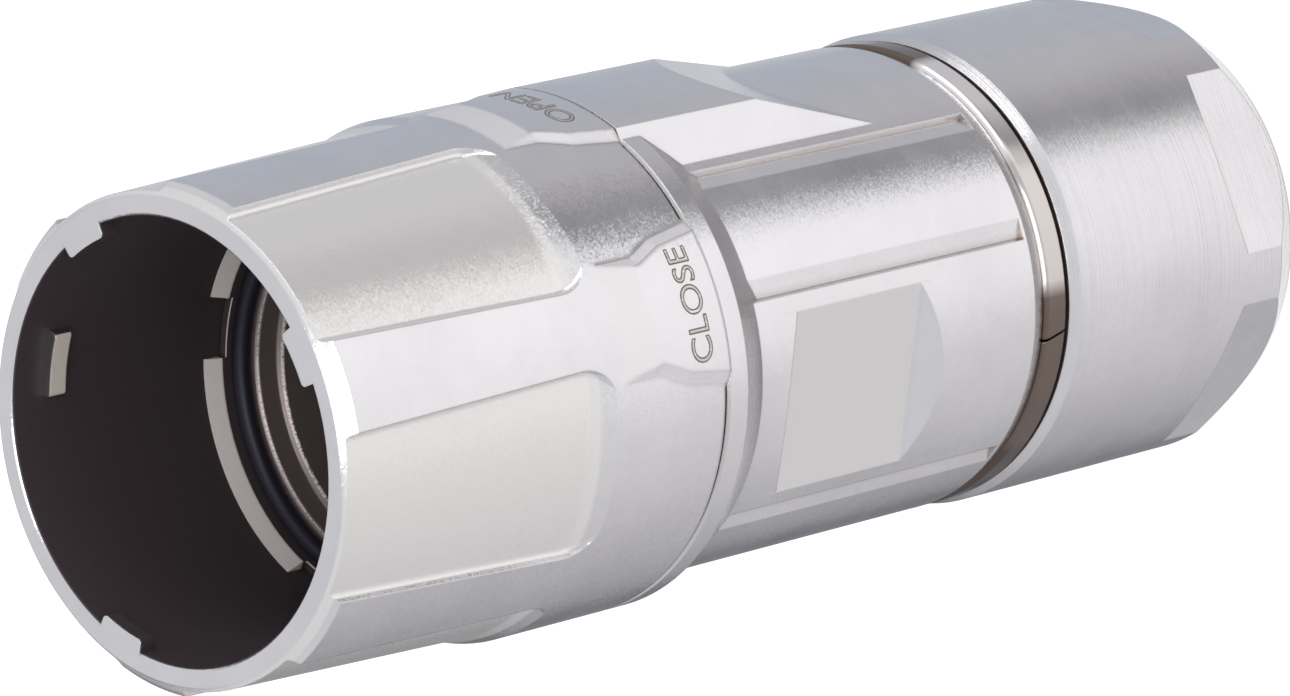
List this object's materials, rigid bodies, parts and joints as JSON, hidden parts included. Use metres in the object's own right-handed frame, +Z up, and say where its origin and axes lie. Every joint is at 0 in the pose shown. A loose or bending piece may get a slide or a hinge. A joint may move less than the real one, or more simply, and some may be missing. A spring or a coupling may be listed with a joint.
{
  "type": "circular power connector",
  "caption": "Straight quick-lock circular power connector for a cable: turning coupling sleeve with grip pockets, shell with wrench flats, and cable clamp nut.",
  "frame": {"origin": "on the connector's axis, in the plane of the clamp nut's rear face, on which it stands", "axes": "+Z up the axis from the cable entry to the coupling mouth, +Y through the middle of the index pad on the shell"},
  "size_m": [0.0282, 0.0286, 0.076],
  "materials": {
    "nickel_satin": "satin nickel plating on brass",
    "nickel_turned": "turned brass, nickel plated, fine turning lines",
    "spring_steel": "polished spring steel",
    "seal_navy": "smooth dark blue rubber",
    "seal_black": "smooth black rubber",
    "moulded_grey": "moulded, matt",
    "moulded_black": "moulded, matt"
  },
  "bodies": {
    "shell": {"body_shell": "nickel_satin", "lock_washer": "spring_steel", "face_seal": "seal_navy", "sleeve_snap_ring": "spring_steel", "click_ring": "spring_steel", "damper_seal": "seal_black", "stop_pin": "spring_steel", "neck_seal": "seal_black", "clamp_cage": "moulded_grey", "cable_grommet": "seal_black", "grommet_core": "seal_black", "shield_ferrule": "nickel_turned", "shield_clamp_ring": "nickel_turned", "shield_contact_crown": "spring_steel", "spacer_sleeve": "moulded_black"},
    "sleeve": {"coupling_sleeve": "nickel_satin"},
    "clamp_slip_ring": {"slip_ring": "nickel_turned"},
    "nut": {"clamp_nut": "nickel_turned"}
  },
  "joints": [
    {"name": "sleeve_turn", "type": "hinge", "parent": "shell", "child": "sleeve", "pos_m": [0, 0, 0.0625], "axis": [0, 0, 1], "range_deg": [0, 60], "deforming": ["click_ring"]},
    {"name": "slip_slide", "type": "slide", "parent": "shell", "child": "clamp_slip_ring", "axis": [0, 0, -1], "range_m": [0, 0.006]},
    {"name": "nut_turn", "type": "hinge", "parent": "clamp_slip_ring", "child": "nut", "pos_m": [0, 0, 0.01], "axis": [0, 0, -1], "range_deg": [0, 1440]}
  ],
  "couplings": [
    {"joint": "slip_slide", "follows": "nut_turn", "m_per_rad": 0.00023873}
  ]
}
